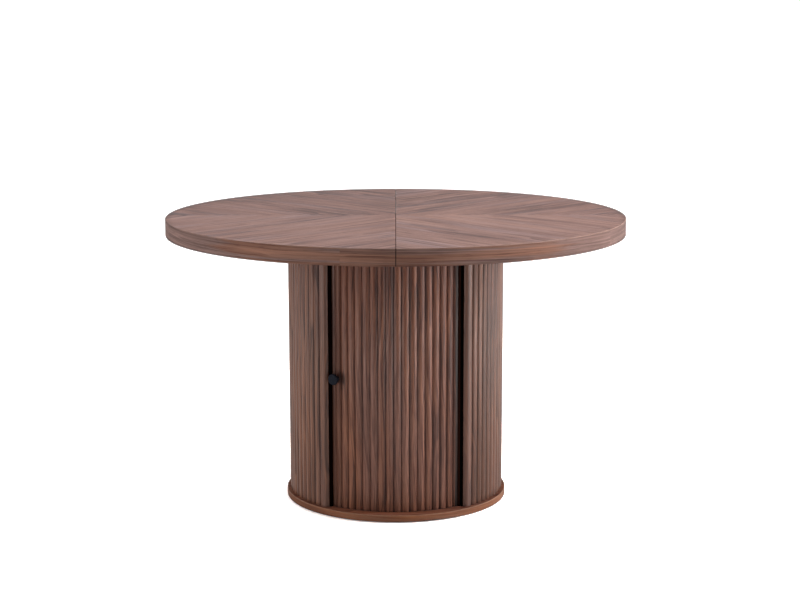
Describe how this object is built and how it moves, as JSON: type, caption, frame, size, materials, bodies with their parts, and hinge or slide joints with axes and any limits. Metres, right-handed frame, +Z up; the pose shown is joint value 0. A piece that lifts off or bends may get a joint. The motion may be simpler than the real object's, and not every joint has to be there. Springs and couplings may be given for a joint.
{
  "type": "round kitchen table with storage cabinet",
  "caption": "round walnut-veneer kitchen table on a reeded drum that holds a cabinet behind a curved sliding tambour door, with a top split in halves that slide apart",
  "frame": {"origin": "on the floor at the drum's axis, under the middle of the top", "axes": "+Z up, the doorway faces -Y, +X to the right of a person who faces the door"},
  "size_m": [1.1998, 1.2, 0.75],
  "materials": {
    "walnut_top": "satin lacquered walnut veneer, four mirrored quarters",
    "walnut_band": "satin lacquered walnut edge band, grain along the edge",
    "rim_core": "veneered build-up under the board's edge",
    "walnut_reeds": "satin lacquered walnut, upright grain",
    "walnut_slats": "satin lacquered walnut, upright grain",
    "drum_board": "walnut veneered board",
    "plinth_band": "reddish walnut edge band",
    "cabinet_board": "walnut laminate",
    "shell_ply": "bent plywood",
    "slide_hardwood": "waxed beech",
    "gear_plastic": "natural nylon",
    "track_plastic": "dark extruded plastic",
    "glide_plastic": "black moulded plastic",
    "seal_pile": "black woven pile strip and felt",
    "canvas": "dark cotton canvas",
    "knob_black": "satin black powder coat",
    "steel": "zinc plated steel"
  },
  "bodies": {
    "drum": {"foot_glides": "glide_plastic", "plinth_board": "drum_board", "plinth_edge_band": "plinth_band", "cap_board": "drum_board", "cap_edge_band": "plinth_band", "lower_track": "track_plastic", "upper_track": "track_plastic", "shelf_pins": "steel", "cabinet_side_left": "cabinet_board", "cabinet_side_right": "cabinet_board", "cabinet_back": "cabinet_board", "shelf": "cabinet_board", "cabinet_screws": "steel", "shell_left": "shell_ply", "shell_right": "shell_ply", "reeds_left": "walnut_reeds", "reeds_right": "walnut_reeds", "end_post_left": "walnut_reeds", "end_post_right": "walnut_reeds", "seal_strip_left": "seal_pile", "seal_strip_right": "seal_pile", "back_joint_batten": "slide_hardwood", "shell_dowels": "slide_hardwood", "slide_rail_front": "slide_hardwood", "slide_rail_back": "slide_hardwood", "rail_screws": "steel", "pinion_axle": "steel", "pinion_retainer": "steel"},
    "tambour_door": {"tambour_slats": "walnut_slats", "tambour_lead_slat": "walnut_slats", "tambour_canvas": "canvas", "knob": "knob_black", "knob_screw": "steel"},
    "half_top_left": {"top_board_left": "walnut_top", "top_rim_left": "rim_core", "top_edge_band_left": "walnut_band", "runner_left_front": "slide_hardwood", "runner_left_back": "slide_hardwood", "rack_left": "gear_plastic", "slide_screws_left": "steel", "seam_pins": "slide_hardwood", "seam_felt": "seal_pile"},
    "half_top_right": {"top_board_right": "walnut_top", "top_rim_right": "rim_core", "top_edge_band_right": "walnut_band", "runner_right_front": "slide_hardwood", "runner_right_back": "slide_hardwood", "rack_right": "gear_plastic", "slide_screws_right": "steel"},
    "equaliser": {"equaliser_pinion": "gear_plastic"}
  },
  "joints": [
    {"name": "door_slide", "type": "hinge", "parent": "drum", "child": "tambour_door", "pos_m": [0, 0, 0.355], "axis": [0, 0, 1], "range_deg": [0, 68]},
    {"name": "top_left_slide", "type": "slide", "parent": "drum", "child": "half_top_left", "axis": [-1, 0, 0], "range_m": [0, 0.2]},
    {"name": "top_right_slide", "type": "slide", "parent": "drum", "child": "half_top_right", "axis": [1, 0, 0], "range_m": [0, 0.2]},
    {"name": "equaliser_turn", "type": "hinge", "parent": "drum", "child": "equaliser", "pos_m": [0, 0, 0.72], "axis": [0, 0, 1], "range_deg": [0, 637]}
  ],
  "couplings": [
    {"joint": "top_right_slide", "follows": "top_left_slide", "ratio": 1},
    {"joint": "equaliser_turn", "follows": "top_left_slide", "rad_per_m": 55.556}
  ]
}
